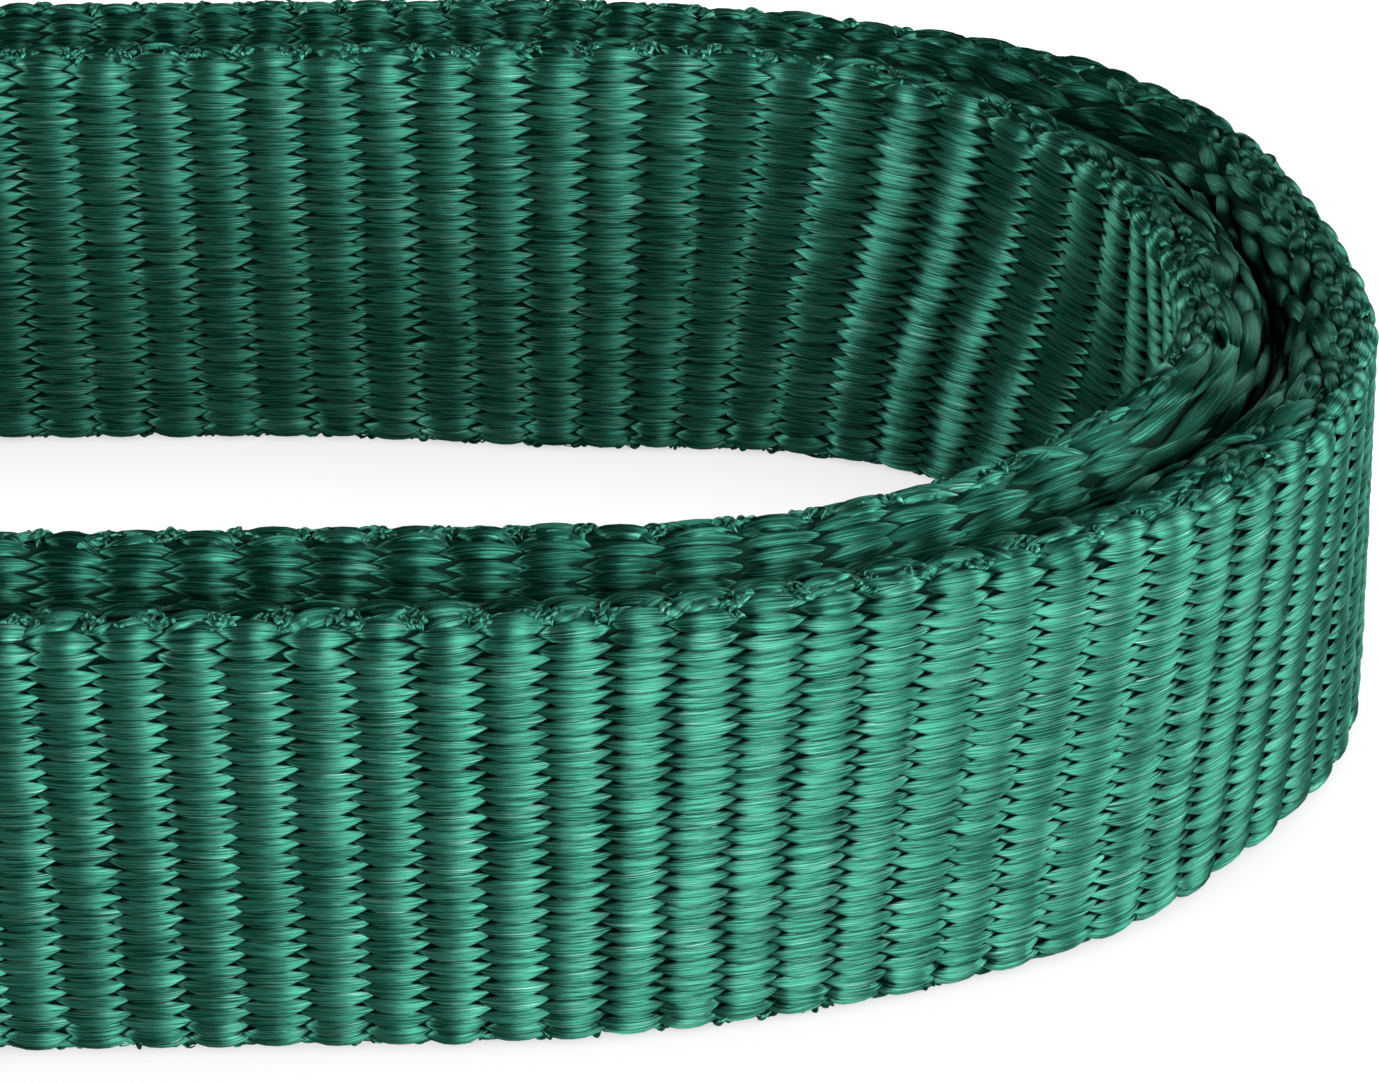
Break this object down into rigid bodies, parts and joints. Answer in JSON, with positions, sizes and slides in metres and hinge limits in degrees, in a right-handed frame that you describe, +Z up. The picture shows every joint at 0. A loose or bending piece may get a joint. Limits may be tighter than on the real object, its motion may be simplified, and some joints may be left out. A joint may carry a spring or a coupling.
{
  "type": "round sling",
  "caption": "Endless polyester round sling: yarn core in a thick woven green cover, standing on its edge as a long loop, with a sewn sleeve and a blank label flap.",
  "frame": {"origin": "middle of the loop, on the flat surface that the sling's lower edge stands on", "axes": "+Z up, along the width of the webbing; X along the two legs; Y across the loop, with the labelled leg at -Y"},
  "size_m": [0.4886, 0.1347, 0.05],
  "materials": {
    "cover_polyester": "silky rib weave of filament polyester, dark green",
    "sleeve_polyester": "plain woven polyester, dark green",
    "core_yarn": "untwisted natural filament yarn",
    "tie_tape": "thin woven tape",
    "edge_thread": "dyed filament thread",
    "stitch_thread": "dyed sewing thread",
    "label_material": "coated blue label cloth, blank"
  },
  "bodies": {
    "sling": {"closing_sleeve": "sleeve_polyester", "core_tie_1": "tie_tape", "core_tie_2": "tie_tape", "core_tie_3": "tie_tape", "core_tie_4": "tie_tape", "core_turn_01": "core_yarn", "core_turn_02": "core_yarn", "core_turn_03": "core_yarn", "core_turn_04": "core_yarn", "core_turn_05": "core_yarn", "core_turn_06": "core_yarn", "core_turn_07": "core_yarn", "core_turn_08": "core_yarn", "core_turn_09": "core_yarn", "core_turn_10": "core_yarn", "core_turn_11": "core_yarn", "core_turn_12": "core_yarn", "core_turn_13": "core_yarn", "core_turn_14": "core_yarn", "core_turn_15": "core_yarn", "core_turn_16": "core_yarn", "core_turn_17": "core_yarn", "core_turn_18": "core_yarn", "core_turn_19": "core_yarn", "core_turn_20": "core_yarn", "cover_inner_wall": "cover_polyester", "cover_outer_wall": "cover_polyester", "edge_seam_bottom": "edge_thread", "edge_seam_top": "edge_thread", "label_stitches": "stitch_thread", "label_tab": "label_material", "sleeve_stitches": "stitch_thread"},
    "label": {"label_flap": "label_material"}
  },
  "joints": [
    {"name": "label_fold", "type": "hinge", "parent": "sling", "child": "label", "pos_m": [0.0245, -0.0688, 0.025], "axis": [0, 0, 1], "range_deg": [0, 170]}
  ]
}
